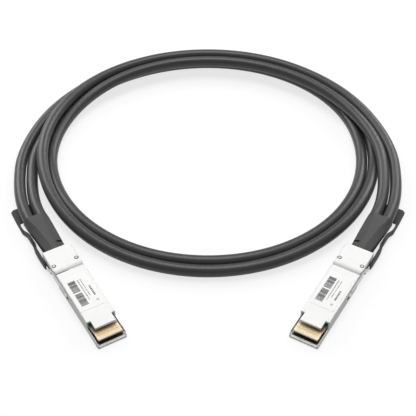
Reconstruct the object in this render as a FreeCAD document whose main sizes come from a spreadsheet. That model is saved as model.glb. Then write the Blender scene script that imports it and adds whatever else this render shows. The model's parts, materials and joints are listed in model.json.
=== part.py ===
"""Direct attach copper cable: two double-density pluggable connectors on two round cables.

Frame: millimetres, +Z up, floor at z = 0. The origin is the middle of the box round both connectors,
on the floor. Both connectors point towards -Y, and the cable lies in loose turns behind them.
Each connector is built in its own frame first: x runs along it with 0 at its nose and its tail at
-x, y across it and z up. Then its placement turns it and puts it on the floor.
"""
import FreeCAD, Part
import os
import re
from math import acos, cos, pi, radians, sin, tan

import Sketcher

Vector = FreeCAD.Vector

SIZES = {
    # where things lie
    "plug_half_spacing": 54.2,      # nose of each plug from the middle plane
    "plug_front": -56.7,            # y of both noses
    "plug_turn": 30.4,              # degrees that each plug is turned out of +Y
    "loop_centre": 108.0,           # y of the middle of the cable's turns
    # shells
    "plug_length": 77.7,
    "plug_width": 18.35,
    "plug_height": 8.5,
    "back_height": 9.4,             # top of the raised back of the cover
    "back_length": 17.4,
    "back_slope": 1.2,
    "cove_radius": 4.0,
    "joint_height": 7.1,            # where the cover sits on the lower shell
    "floor_thickness": 1.5,
    "side_wall": 1.0,
    "lip_thickness": 1.5,           # front edge of the mouth
    "nose_length": 14.6,            # open part in front of the shoulders
    "nose_wall_height": 4.9,
    "nose_slope": 3.6,
    "nose_corner": 0.9,
    "tongue_setback": 8.35,         # front of the cover's tongue from the nose
    "tongue_inset": 2.6,
    "edge_break": 0.3,
    "back_wall": 3.5,
    "neck_inset": 2.4,
    "seat_clearance": 0.1,
    "rivet_inset": 1.75,
    "rivet_setback": 13.8,          # from the tail
    "rivet_radius": 0.85,
    "rivet_groove": 0.5,
    # latch channels in both sides
    "channel_depth": 0.95,
    "channel_low": 1.9,
    "channel_height": 3.4,
    "channel_length": 36.1,
    # card and contacts
    "card_front": 2.6,
    "card_back": 31.0,
    "card_clearance": 0.1,
    "card_thickness": 1.0,
    "card_top": 4.9,
    "card_chamfer": 0.6,
    "ledge_front": 16.5,
    "ledge_back": 29.5,
    "ledge_width": 1.1,
    "pad_pitch": 0.8,
    "pad_width": 0.62,
    "pad_length": 2.5,
    "pad_gap": 0.25,
    "pad_thickness": 0.06,
    "pad_setback": 0.3,
    "chip_length": 4.2,
    "chip_width": 6.0,
    "chip_height": 1.1,
    "chip_setback": 20.0,
    # screws
    "boss_back": 37.5,
    "boss_inset": 1.6,
    "boss_diameter": 3.0,
    "boss_top": 5.4,
    "screw_diameter": 1.4,
    "screw_head_diameter": 2.4,
    "screw_head_height": 0.7,
    "screw_length": 7.2,
    # latch slider
    "latch_travel": 2.6,
    "run_clearance": 0.3,
    "sheet_thickness": 0.6,
    "arm_gap": 0.2,
    "arm_height": 2.8,
    "arm_tip_gap": 1.6,
    "arm_bump": 0.42,
    "jog_length": 2.0,
    "jog_out": 1.25,
    "jog_setback": 4.8,             # jogs in front of the pull tab
    "bump_front": 1.2,              # spring bump of an arm, from its tip
    "bump_middle": 2.2,
    "bump_back": 3.4,
    "arm_grip": 2.0,                # how far the arms reach behind the shells
    "bridge_length": 9.4,
    "bridge_low": 0.12,
    "ear_width": 1.5,
    "ear_height": 4.4,
    "ear_setback": 2.0,             # from the front of the bridge
    # springs
    "spring_inset": 1.3,
    "spring_setback": 24.4,         # seats from the front of the channels
    "spring_rise": 3.2,
    "spring_room": 9.4,
    "spring_radius": 0.85,
    "spring_wire": 0.36,
    "spring_turns": 5.0,
    "seat_width": 2.4,
    "seat_thickness": 1.0,
    # pull tab: its arm on the plug's outer side is tall, the one on the inner side lies flat
    "tab_overlap": 6.9,             # over the sides of the shells
    "tab_shoulder": 3.8,
    "tab_shoulder_length": 5.5,
    "tab_waist": 14.8,
    "tab_waist_end": 14.2,
    "tab_bulge": 9.0,
    "tab_outset": 1.9,
    "tab_waist_outset": 0.25,
    "tab_grip_outset": 1.3,
    "tab_wall": 1.3,
    "tab_low": 1.6,
    "tab_high": 5.7,
    "tab_waist_lead": 1.5,
    "tab_bulge_lead": 2.8,
    "tab_web": 3.0,
    "tab_slope_front": 4.0,         # where the tall arm's top starts to slope, from its waist
    "tab_slope_back": 5.0,
    "tab_slope_rise": 0.5,
    "flat_outset": 1.4,
    "flat_high": 5.3,
    "flat_back": 2.3,               # behind the shells
    "flat_slope": 3.0,
    "strap_lead": 1.5,
    "strap_inset": 0.9,
    "strap_width": 1.7,
    "strap_top": 0.9,
    "grip_gap": 0.7,                # between the strain relief and the grip
    "grip_length": 14.0,
    "grip_low": 0.15,
    "grip_top": 1.4,
    "grip_corner": 1.6,
    # strain relief
    "boot_length": 38.8,
    "boot_middle": 21.0,
    "boot_inset": 1.9,
    "boot_middle_inset": 1.5,
    "boot_back_inset": 0.8,
    "boot_low": 1.0,
    "boot_front_top": 8.9,
    "boot_middle_top": 9.6,
    "boot_back_top": 10.1,
    "boot_chamfer": 1.7,
    "boot_front_crown": 3.0,        # half of the flat on top
    "boot_front_drop": 1.2,
    "boot_lean": 1.0,               # of the front section's sides
    "neck_top": 6.9,
    "slot_rise": 1.9,               # roof of the wires' slot above the comb's upper wires
    "bore_depth": 16.0,
    # cable
    "cable_diameter": 7.8,
    "cable_pitch": 8.1,             # between the two cables where they leave the boot
    "cable_height": 5.7,
    "cable_seat": 12.0,             # length of cable inside the boot
    "cable_lead": 4.0,              # first corner of the route behind the boot
    "ferrule_length": 4.0,
    "ferrule_wall": 0.8,
    # inner wires
    "wire_diameter": 1.1,
    "wire_pitch": 1.5,
    "wire_spread": 1.6,             # between a cable's wires where they leave it
    "wire_layers": 2.0,             # between the upper and lower wires at the comb
    "wire_height": 5.4,
    "wire_solder": 3.5,
    "wire_seat": 0.02,
    "comb_length": 5.6,
    "comb_inset": 0.4,
    "comb_height": 4.6,
    # label
    "label_front": 23.0,
    "label_gap": 7.9,               # from the raised back
    "label_inset": 1.2,
    "label_shift": 0.7,
    "label_thickness": 0.1,
}

# Places that follow from the sizes: distances behind the nose, and half widths.
DERIVED = {
    "half_width": "plug_width / 2",
    "cavity_half": "half_width - side_wall",
    "channel_half": "half_width - channel_depth",
    "back_cavity_half": "channel_half - side_wall",
    "tongue_half": "half_width - tongue_inset",
    "neck_half": "half_width - neck_inset",
    "card_half": "cavity_half - card_clearance",
    "card_bottom": "card_top - card_thickness",
    "raised_from": "plug_length - back_length",
    "boss_side": "back_cavity_half - boss_inset",
    "rivet_side": "half_width - rivet_inset",
    "channel_front": "plug_length - channel_length",
    "spring_side": "back_cavity_half - spring_inset",
    "spring_seat": "channel_front + spring_setback",
    "ear_back": "spring_seat - spring_room",
    "bridge_front": "ear_back - ear_setback",
    "bridge_back": "bridge_front + bridge_length",
    "arm_inner": "channel_half + arm_gap",
    "arm_outer": "arm_inner + sheet_thickness",
    "arm_low": "channel_low + channel_height / 2 - arm_height / 2",
    "arm_tip": "channel_front + arm_tip_gap",
    "jog_start": "plug_length - tab_overlap - jog_setback",
    "arm_tail": "plug_length + arm_grip",
    "boot_tail": "plug_length + boot_length",
    "tab_front": "plug_length - tab_overlap",
    "tab_half": "half_width + tab_outset",
    "waist_half": "half_width + tab_waist_outset",
    "grip_half": "half_width + tab_grip_outset",
    "shoulder_back": "plug_length + tab_shoulder",
    "shoulder_end": "shoulder_back + tab_shoulder_length",
    "waist_front": "plug_length + tab_waist",
    "grip_front": "boot_tail + grip_gap",
    "waist_back": "grip_front - tab_waist_end",
    "bulge_back": "grip_front - tab_bulge",
    "grip_end": "grip_front + grip_length",
    "flat_half": "half_width + flat_outset",
    "strap_half": "half_width - strap_inset",
    "flat_from": "plug_length + flat_back",
    "flat_end": "flat_from + flat_slope",
    "strap_front": "flat_end + strap_lead",
    "comb_half": "back_cavity_half - comb_inset",
    "label_back": "raised_from - label_gap",
    "label_half": "half_width - label_inset",
}

# The cable's route, as corners round the middle of its turns: degrees clockwise seen from above
# with 0 at the back, radius and height. Each cable leaves the left plug and ends at the right one.
OUTER_ROUTE = [
    (-106, 130.9, 5.3), (-90, 128.6, 4.6), (-67.5, 124.5, 4.0), (-45, 120.6, 4.0),
    (-22.5, 118.6, 4.0), (0, 118.1, 4.0), (22.5, 118.4, 4.0), (45, 118.6, 4.0),
    (67.5, 118.2, 4.0), (90, 116.2, 4.0), (112.5, 115.2, 6.4), (135, 115.5, 6.4),
    (157.5, 115.0, 4.8), (180, 114.5, 4.0), (202.5, 115.0, 4.8), (225, 115.5, 6.4),
    (247.5, 115.1, 9.2), (270, 115.5, 11.8), (292.5, 114.6, 12.2), (315, 112.8, 12.2),
    (337.5, 110.6, 12.2), (360, 109.5, 12.2), (382.5, 110.4, 12.2), (405, 112.8, 12.2),
    (427.5, 117.6, 12.4), (450, 126.0, 10.2), (466, 130.6, 6.8),
]
INNER_ROUTE = [
    (-106, 122.5, 5.3), (-90, 120.4, 4.6), (-67.5, 116.3, 4.0), (-45, 112.4, 4.0),
    (-22.5, 110.4, 4.0), (0, 109.9, 4.0), (22.5, 110.2, 4.0), (45, 110.4, 4.0),
    (67.5, 110.0, 4.0), (90, 108.0, 4.0), (112.5, 107.4, 4.0), (135, 107.1, 4.0),
    (157.5, 106.6, 4.0), (180, 106.2, 4.0), (202.5, 106.6, 4.0), (225, 107.2, 4.0),
    (247.5, 108.3, 4.0), (270, 110.3, 4.0), (292.5, 108.4, 6.4), (315, 104.5, 10.6),
    (337.5, 102.3, 11.5), (360, 101.3, 11.4), (382.5, 102.1, 11.8), (405, 104.5, 12.2),
    (427.5, 109.3, 12.5), (450, 117.6, 12.8), (466, 122.2, 9.0),
]
SIDES = {"left": -1, "right": 1}
RUN_SHARE = 0.45    # share of the shorter run that an arc of a tube takes

doc = FreeCAD.newDocument("AttachCable")
sheet = doc.addObject("Spreadsheet::Sheet", "Sizes")
for row, (alias, value) in enumerate(SIZES.items(), start=1):
    sheet.set(f"A{row}", alias)
    sheet.set(f"B{row}", str(value))
    sheet.setAlias(f"B{row}", alias)
doc.recompute()

node_objects = []


def spelled(text):
    """An expression in words, with each word turned into its cell or into what it follows from."""
    def spell(found):
        word = found.group()
        return f"({spelled(DERIVED[word])})" if word in DERIVED else f"Sizes.{word}"
    return re.sub(r"[a-z]+(_[a-z]+)+", spell, text)


def size(text):
    return float(sheet.evalExpression(spelled(text)))


def bind(thing, target, text):
    thing.setExpression(target, spelled(text))


# ---- drawing and features -------------------------------------------------------------------------

def new_body(label):
    body = doc.addObject("PartDesign::Body", label)
    body.Label = label
    return body


def draw_outline(sketch, corners):
    """Closed outline of straight lines: each corner's x and y are expressions."""
    count = len(corners)
    start = [Vector(cos(2 * pi * i / count), sin(2 * pi * i / count), 0) for i in range(count)]
    first = sketch.GeometryCount
    for i in range(count):
        sketch.addGeometry(Part.LineSegment(start[i], start[(i + 1) % count]), False)
    for i in range(count):
        sketch.addConstraint(Sketcher.Constraint("Coincident", first + i, 2, first + (i + 1) % count, 1))
    for i, (x, y) in enumerate(corners):
        for kind, text, begin in (("DistanceX", x, start[i].x), ("DistanceY", y, start[i].y)):
            number = sketch.addConstraint(Sketcher.Constraint(kind, -1, 1, first + i, 1, begin))
            bind(sketch, f"Constraints[{number}]", text)


def draw_circle(sketch, x, y, radius):
    circle = sketch.addGeometry(Part.Circle(Vector(0, 0, 0), Vector(0, 0, 1), 1), False)
    number = sketch.addConstraint(Sketcher.Constraint("Radius", circle, 1))
    bind(sketch, f"Constraints[{number}]", radius)
    for kind, text in (("DistanceX", x), ("DistanceY", y)):
        number = sketch.addConstraint(Sketcher.Constraint(kind, -1, 1, circle, 3, 0.0))
        bind(sketch, f"Constraints[{number}]", text)


def new_sketch(body, name, plane, outlines=(), circles=(), offset="0"):
    planes = {feature.Role: feature for feature in body.Origin.OriginFeatures}
    sketch = body.newObject("Sketcher::SketchObject", name)
    sketch.AttachmentSupport = [(planes[plane], "")]
    sketch.MapMode = "FlatFace"
    bind(sketch, "AttachmentOffset.Base.z", offset)
    for corners in outlines:
        draw_outline(sketch, corners)
    for circle in circles:
        draw_circle(sketch, *circle)
    return sketch


def rectangle(x_low, x_high, y_low, y_high):
    return [(x_low, y_low), (x_high, y_low), (x_high, y_high), (x_low, y_high)]


def both_sides(x_low, x_high, inner, outer):
    """The same rectangle on both sides of the plug's middle plane."""
    return [rectangle(x_low, x_high, inner, outer), rectangle(x_low, x_high, f"-({outer})", f"-({inner})")]


def both_round(x, y, radius):
    return [(x, y, radius), (x, f"-({y})", radius)]


def add_slab(body, name, low, high, outlines=(), circles=()):
    """Pad a plan outline from one height to another."""
    pad = body.newObject("PartDesign::Pad", name)
    pad.Profile = new_sketch(body, f"{name}_plan", "XY_Plane", outlines, circles, low)
    bind(pad, "Length", f"({high}) - ({low})")
    return pad


def cut_slab(body, name, low, high, outlines=(), circles=()):
    """Cut a plan outline away from one height up to another."""
    pocket = body.newObject("PartDesign::Pocket", name)
    pocket.Profile = new_sketch(body, f"{name}_plan", "XY_Plane", outlines, circles, low)
    pocket.Reversed = True
    bind(pocket, "Length", f"({high}) - ({low})")
    return pocket


def add_profile(body, name, corners, width):
    """Pad a side view to a width that lies evenly on both sides of the middle plane."""
    pad = body.newObject("PartDesign::Pad", name)
    pad.Profile = new_sketch(body, f"{name}_side", "XZ_Plane", [corners])
    pad.SideType = "Symmetric"
    bind(pad, "Length", width)
    return pad


def cut_profile(body, name, corners, width):
    pocket = body.newObject("PartDesign::Pocket", name)
    pocket.Profile = new_sketch(body, f"{name}_side", "XZ_Plane", [corners])
    pocket.SideType = "Symmetric"
    bind(pocket, "Length", width)
    return pocket


def soften(body, kind, name, amount, chosen):
    """Fillet or chamfer the edges of the body's shape that the test picks."""
    doc.recompute()
    base = body.Tip
    picked = [f"Edge{i}" for i, edge in enumerate(base.Shape.Edges, start=1) if chosen(edge)]
    feature = body.newObject(f"PartDesign::{kind}", name)
    feature.Base = (base, picked)
    bind(feature, "Radius" if kind == "Fillet" else "Size", amount)
    return feature


def runs_along(edge, axis):
    """True for a straight edge along an axis: 0, 1 or 2 for x, y or z."""
    if not isinstance(edge.Curve, (Part.Line, Part.LineSegment)):
        return False
    direction = edge.Vertexes[1].Point - edge.Vertexes[0].Point
    return abs(abs(direction[axis]) - direction.Length) < 1e-6


def middle(edge):
    return (edge.Vertexes[0].Point + edge.Vertexes[1].Point) * 0.5


def near(value, target):
    return abs(value - target) < 1e-4


def place(thing, side):
    """Turn a piece from its connector's own frame and put it down, then list it as a node."""
    sign = SIDES[side]
    thing.Placement = FreeCAD.Placement(Vector(0, 0, 0), FreeCAD.Rotation(Vector(0, 0, 1), 45))
    bind(thing, "Placement.Base.x", f"{sign} * plug_half_spacing")
    bind(thing, "Placement.Base.y", "plug_front")
    bind(thing, "Placement.Rotation.Angle", f"-90 - {sign} * plug_turn")
    node_objects.append(thing)


def place_shape(label, side, shape):
    thing = doc.addObject("Part::Feature", label)
    thing.Label = label
    thing.Shape = shape
    place(thing, side)


# ---- tubes ----------------------------------------------------------------------------------------

def rounded_path(corners):
    """Straight runs joined by tangent arcs, and the radius of each arc."""
    edges, radii = [], []
    start = corners[0]
    for before, corner, after in zip(corners, corners[1:], corners[2:]):
        incoming, outgoing = corner - before, after - corner
        half_turn = incoming.getAngle(outgoing) / 2
        reach = RUN_SHARE * min(incoming.Length, outgoing.Length)
        radii.append(reach / tan(half_turn))
        backward, forward = (before - corner).normalize(), (after - corner).normalize()
        arc_start, arc_end = corner + backward * reach, corner + forward * reach
        inset = radii[-1] / cos(half_turn) - radii[-1]
        arc_middle = corner + (backward + forward).normalize() * inset
        edges.append(Part.LineSegment(start, arc_start).toShape())
        edges.append(Part.Arc(arc_start, arc_middle, arc_end).toShape())
        start = arc_end
    edges.append(Part.LineSegment(start, corners[-1]).toShape())
    return Part.Wire(edges), radii


def tube(corners, radius):
    path, radii = rounded_path(corners)
    section = Part.Wire(Part.Circle(corners[0], corners[1] - corners[0], radius).toShape())
    swept = path.makePipeShell([section], True, False)
    return swept, path.Length, radii


# ---- shells ---------------------------------------------------------------------------------------

def lower_shell(side):
    body = new_body(f"{side}_lower_shell")
    add_profile(body, "shell_block", [
        ("-plug_length", "0"), ("0", "0"), ("0", "floor_thickness"), ("-nose_slope", "nose_wall_height"),
        ("-nose_length", "nose_wall_height"), ("-nose_length", "joint_height"),
        ("-plug_length", "joint_height")], "plug_width")
    cut_slab(body, "front_room", "floor_thickness", "plug_height", [
        rectangle("-channel_front + side_wall", "lip_thickness", "-cavity_half", "cavity_half")])
    cut_slab(body, "back_room", "floor_thickness", "plug_height", [
        rectangle("-plug_length + back_wall", "-channel_front + 2 * side_wall",
                  "-back_cavity_half", "back_cavity_half")])
    cut_slab(body, "neck_opening", "floor_thickness", "plug_height", [
        rectangle("-plug_length - back_wall", "-plug_length + 2 * back_wall", "-neck_half", "neck_half")])
    cut_slab(body, "latch_channels", "channel_low", "channel_low + channel_height",
             both_sides("-plug_length - back_wall", "-channel_front", "channel_half", "plug_width"))
    recess_back = "-bridge_back - latch_travel - run_clearance"
    recess_front = "-bridge_front + run_clearance"
    cut_slab(body, "bridge_recess", "0", "bridge_low + sheet_thickness + run_clearance / 2", [
        rectangle(recess_back, recess_front, "-plug_width", "plug_width")])
    cut_slab(body, "bridge_legs", "0", "channel_low + run_clearance",
             both_sides(recess_back, recess_front, "channel_half", "plug_width"))
    cut_slab(body, "ear_slots", "0", "2 * floor_thickness", both_sides(
        "-ear_back - latch_travel - run_clearance", "-ear_back + sheet_thickness + run_clearance",
        "spring_side - ear_width / 2 - run_clearance", "spring_side + ear_width / 2 + run_clearance"))
    add_slab(body, "spring_seats", "floor_thickness", "spring_rise + seat_width", both_sides(
        "-spring_seat - seat_thickness", "-spring_seat",
        "spring_side - seat_width / 2", "back_cavity_half"))
    add_slab(body, "card_ledges", "floor_thickness", "card_bottom",
             both_sides("-ledge_back", "-ledge_front", "cavity_half - ledge_width", "cavity_half"))
    add_slab(body, "screw_bosses", "floor_thickness", "boss_top",
             circles=both_round("-boss_back", "boss_side", "boss_diameter / 2"))
    cut_slab(body, "screw_holes", "0", "plug_height",
             circles=both_round("-boss_back", "boss_side", "screw_diameter / 2 + seat_clearance"))
    cut_slab(body, "screw_sinks", "0", "screw_head_height + seat_clearance",
             circles=both_round("-boss_back", "boss_side", "screw_head_diameter / 2 + seat_clearance"))
    half_width = size("half_width")
    soften(body, "Fillet", "nose_corners", "nose_corner",
           lambda e: runs_along(e, 2) and near(middle(e).x, 0) and near(abs(middle(e).y), half_width))
    place(body, side)


def upper_shell(side):
    body = new_body(f"{side}_upper_shell")
    add_profile(body, "cover_plate", [
        ("-plug_length", "joint_height"), ("-tongue_setback", "joint_height"),
        ("-tongue_setback", "plug_height"), ("-raised_from + back_slope", "plug_height"),
        ("-raised_from", "back_height"), ("-plug_length", "back_height")], "plug_width")
    cut_slab(body, "shoulders", "joint_height - seat_clearance", "back_height", both_sides(
        "-nose_length", "nose_length", "tongue_half", "plug_width"))
    cut_slab(body, "back_hollow", "joint_height - seat_clearance", "plug_height - seat_clearance", [
        rectangle("-plug_length + back_wall / 2", "-raised_from", "-back_cavity_half", "back_cavity_half")])
    add_slab(body, "screw_pillars", "boss_top", "plug_height - side_wall",
             circles=both_round("-boss_back", "boss_side", "boss_diameter / 2"))
    cut_slab(body, "screw_pilots", "boss_top - seat_clearance", "screw_length + 3 * seat_clearance",
             circles=both_round("-boss_back", "boss_side", "screw_diameter / 2"))
    rivet = ("-plug_length + rivet_setback", "rivet_side")
    cut_slab(body, "rivet_grooves", "plug_height + seat_clearance", "2 * back_height",
             circles=both_round(*rivet, "rivet_radius") + both_round(*rivet, "rivet_radius + rivet_groove"))
    half_width, top, slope_end = size("half_width"), size("plug_height"), -size("raised_from - back_slope")
    soften(body, "Fillet", "cove", "cove_radius",
           lambda e: runs_along(e, 1) and near(middle(e).z, top) and near(middle(e).x, slope_end))
    soften(body, "Chamfer", "broken_edges", "edge_break",
           lambda e: runs_along(e, 0) and near(abs(middle(e).y), half_width) and middle(e).z > top - 1e-4)
    place(body, side)


# ---- card, contacts and wires ---------------------------------------------------------------------

def paddle_card(side):
    body = new_body(f"{side}_paddle_card")
    add_slab(body, "board", "card_bottom", "card_top", [[
        ("-card_back", "-card_half"), ("-card_front - card_chamfer", "-card_half"),
        ("-card_front", "-card_half + card_chamfer"), ("-card_front", "card_half - card_chamfer"),
        ("-card_front - card_chamfer", "card_half"), ("-card_back", "card_half")]])
    place(body, side)


def contact_rows(side, label, low):
    """Two rows of gold pads, one behind the other, on one face of the card."""
    pitch, width, length = size("pad_pitch"), size("pad_width"), size("pad_length")
    count = int(2 * size("card_half - card_chamfer") / pitch)
    pads = []
    for row in range(2):
        front = -size("card_front + pad_setback") - row * size("pad_length + pad_gap")
        for i in range(count):
            across = (i - (count - 1) / 2) * pitch
            corner = Vector(front - length, across - width / 2, low)
            pads.append(Part.makeBox(length, width, size("pad_thickness"), corner))
    place_shape(f"{side}_{label}", side, Part.makeCompound(pads))


def card_chip(side):
    chip = doc.addObject("Part::Box", f"{side}_card_chip")
    bind(chip, "Length", "chip_length")
    bind(chip, "Width", "chip_width")
    bind(chip, "Height", "chip_height")
    moved = doc.addObject("Part::Compound", f"{side}_chip")
    bind(chip, "Placement.Base.x", "-chip_setback - chip_length")
    bind(chip, "Placement.Base.y", "-chip_width / 2")
    bind(chip, "Placement.Base.z", "card_top")
    moved.Links = [chip]
    moved.Label = f"{side}_control_chip"
    place(moved, side)


def wire_ends():
    """Each wire's across and height in its cable, its across at the comb, and 1 above or -1 below the card."""
    for cable in (-1, 1):
        for outward in (-1, 1):
            for layer in (-1, 1):
                start = cable * size("cable_pitch / 2") + outward * size("wire_spread / 2")
                across = (cable + outward / 2) * size("wire_pitch")
                yield start, size("cable_height") + layer * size("wire_spread / 2"), across, layer


def pair_wires(side):
    radius = size("wire_diameter / 2")
    tail = -size("boot_tail - cable_seat - seat_clearance")
    comb_back = -size("plug_length - back_wall")
    solder = size("wire_solder")
    card_end, card_middle = -size("card_back"), size("(card_top + card_bottom) / 2")
    wires = []
    for start, start_height, across, layer in wire_ends():
        comb_height = size("wire_height") + layer * size("wire_layers / 2")
        card_height = card_middle + layer * (size("card_thickness / 2 + wire_seat") + radius)
        wires.append(tube([
            Vector(tail, start, start_height),
            Vector(comb_back - size("comb_length / 2"), across, comb_height),
            Vector(comb_back + size("comb_length * 2"), across, comb_height),
            Vector(card_end - solder, across, card_height),
            Vector(card_end + solder, across, card_height)], radius)[0])
    place_shape(f"{side}_pair_wires", side, Part.makeCompound(wires))


def wire_comb(side):
    """Moulded block that holds the wires apart behind the card."""
    length, half, height = size("comb_length"), size("comb_half"), size("comb_height")
    back = size("plug_length - back_wall - seat_clearance")
    corner = Vector(-back, -half, size("wire_height") - height / 2)
    block = Part.makeBox(length, 2 * half, height, corner)
    for _, _, across, layer in wire_ends():
        start = Vector(corner.x - 1, across, size("wire_height") + layer * size("wire_layers / 2"))
        hole_radius = size("(wire_diameter + seat_clearance) / 2")
        block = block.cut(Part.makeCylinder(hole_radius, length + 2, start, Vector(1, 0, 0)))
    place_shape(f"{side}_wire_comb", side, block)


# ---- latch ----------------------------------------------------------------------------------------

def mirror_y(corners):
    return [(x, f"-({y})") for x, y in corners]


def latch_slider(side):
    body = new_body(f"{side}_latch_slider")
    arm = [
        ("-arm_tip", "arm_inner"), ("-jog_start", "arm_inner"),
        ("-jog_start - jog_length", "arm_inner + jog_out"), ("-arm_tail", "arm_inner + jog_out"),
        ("-arm_tail", "arm_outer + jog_out"), ("-jog_start - jog_length", "arm_outer + jog_out"),
        ("-jog_start", "arm_outer"), ("-arm_tip - bump_back", "arm_outer"),
        ("-arm_tip - bump_middle", "arm_outer + arm_bump"),
        ("-arm_tip - bump_front", "arm_outer + arm_bump"), ("-arm_tip", "arm_outer - arm_gap")]
    legs = ("-bridge_back", "-bridge_front")
    add_slab(body, "bridge", "bridge_low", "bridge_low + sheet_thickness", [
        rectangle(*legs, "-arm_outer", "arm_outer")])
    add_slab(body, "legs", "bridge_low", "arm_low + sheet_thickness",
             both_sides(*legs, "arm_inner", "arm_outer"))
    add_slab(body, "arms", "arm_low", "arm_low + arm_height", [arm, mirror_y(arm)])
    ears = both_sides("-ear_back", "-ear_back + sheet_thickness",
                      "spring_side - ear_width / 2", "spring_side + ear_width / 2")
    add_slab(body, "ears", "bridge_low", "ear_height", ears)
    place(body, side)


def latch_springs(side):
    """Two coil springs between the slider's ears and their seats in the lower shell."""
    radius, wire = size("spring_radius"), size("spring_wire / 2")
    corners_per_turn = 6
    corner_count = int(size("spring_turns")) * corners_per_turn
    first = -size("spring_seat") + size("seat_clearance") + wire
    room = size("spring_room - 2 * seat_clearance") - 2 * wire
    reach = radius / cos(pi / corners_per_turn)
    coils = []
    for across in (-1, 1):
        corners = []
        for i in range(corner_count + 1):
            angle = 2 * pi * i / corners_per_turn
            corners.append(Vector(first + room * i / corner_count,
                                  across * size("spring_side") + reach * cos(angle),
                                  size("spring_rise") + reach * sin(angle)))
        coils.append(tube(corners, wire)[0])
    place_shape(f"{side}_latch_springs", side, Part.makeCompound(coils))


def cut_beside(body, name, corners, across):
    """Cut a side view away on one side of the middle plane: 1 for +y, -1 for -y."""
    pocket = cut_profile(body, name, corners, "2 * tab_half")
    bind(pocket.Profile[0], "AttachmentOffset.Base.z", f"{-across} * tab_half")


def pull_tab(side):
    """Loop round the strain relief: a tall arm on the outer side, a flat one on the inner side."""
    body = new_body(f"{side}_pull_tab")
    tall_outer = [
        ("-tab_front", "tab_half - edge_break"), ("-tab_front - jog_length", "tab_half"),
        ("-shoulder_back", "tab_half"), ("-shoulder_end", "tab_half - edge_break"),
        ("-waist_front", "waist_half + edge_break"), ("-waist_back", "waist_half"),
        ("-bulge_back", "grip_half + edge_break"), ("-grip_front", "grip_half"),
        ("-grip_end + grip_corner", "grip_half"), ("-grip_end", "grip_half - grip_corner")]
    tall_inner = [
        ("-grip_front", "waist_half - tab_wall"), ("-grip_front + grip_gap", "waist_half - tab_wall / 2"),
        ("-grip_front + tab_web", "waist_half - edge_break"),
        ("-bulge_back - tab_bulge_lead", "grip_half - tab_wall"),
        ("-bulge_back", "grip_half - tab_wall"), ("-waist_back", "waist_half - tab_wall"),
        ("-waist_front + tab_waist_lead", "waist_half - tab_wall"),
        ("-shoulder_end", "waist_half - edge_break"),
        ("-plug_length - run_clearance", "half_width + seat_clearance"),
        ("-tab_front", "half_width + seat_clearance")]
    flat_outer = [
        ("-tab_front", "flat_half - edge_break"), ("-tab_front - jog_length", "flat_half"),
        ("-flat_from", "flat_half"), ("-strap_front", "strap_half"),
        ("-grip_end + grip_corner", "strap_half"), ("-grip_end", "strap_half - grip_corner")]
    flat_inner = [
        ("-grip_front", "strap_half - strap_width"), ("-strap_front", "strap_half - strap_width"),
        ("-plug_length - run_clearance", "half_width + seat_clearance"),
        ("-tab_front", "half_width + seat_clearance")]
    across = SIDES[side]
    arms = {across: (tall_outer, tall_inner), -across: (flat_outer, flat_inner)}
    ring = arms[1][0] + mirror_y(arms[-1][0])[::-1] + mirror_y(arms[-1][1])[::-1] + arms[1][1]
    add_slab(body, "loop", "grip_low", "tab_high", [ring])
    cut_profile(body, "top_slope", [
        ("-waist_back + tab_slope_front", "2 * tab_high"), ("-waist_back + tab_slope_front", "tab_high"),
        ("-grip_front + tab_slope_back", "grip_top + tab_slope_rise"), ("-grip_front", "grip_top"),
        ("-grip_end - 1", "grip_top"), ("-grip_end - 1", "2 * tab_high")], "4 * tab_half")
    cut_beside(body, "under_slope", [
        ("-tab_front + 1", "-tab_low"), ("-tab_front + 1", "tab_low"), ("-waist_front", "tab_low"),
        ("-bulge_back", "grip_low"), ("-bulge_back", "-tab_low")], across)
    cut_beside(body, "flat_under", [
        ("-tab_front + 1", "-tab_low"), ("-tab_front + 1", "tab_low"), ("-plug_length", "tab_low"),
        ("-flat_from", "grip_low"), ("-flat_from", "-tab_low")], -across)
    cut_beside(body, "flat_top", [
        ("-tab_front + 1", "2 * tab_high"), ("-tab_front + 1", "flat_high"), ("-flat_from", "flat_high"),
        ("-flat_end", "strap_top"), ("-grip_front", "strap_top"), ("-grip_front", "2 * tab_high")], -across)
    cut_slab(body, "slider_grooves", "arm_low", "arm_low + arm_height", both_sides(
        "-arm_tail", "-tab_front + 1", "arm_inner + jog_out", "arm_outer + jog_out"))
    place(body, side)


# ---- strain relief --------------------------------------------------------------------------------

def boot_section(body, name, distance, half, top, crown, drop, lean):
    """Section across the boot, behind the nose: half width, top, half of its flat, and shoulders."""
    half = f"({half})"
    corners = [
        (f"-{half} + boot_chamfer / 2", "boot_low"), (f"{half} - boot_chamfer / 2", "boot_low"),
        (half, "boot_low + boot_chamfer / 2"), (f"{half} - {lean}", f"{top} - {drop}"),
        (crown, top), (f"-({crown})", top),
        (f"-{half} + {lean}", f"{top} - {drop}"), (f"-{half}", "boot_low + boot_chamfer / 2")]
    return new_sketch(body, name, "YZ_Plane", [corners], offset=f"-({distance})")


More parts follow.
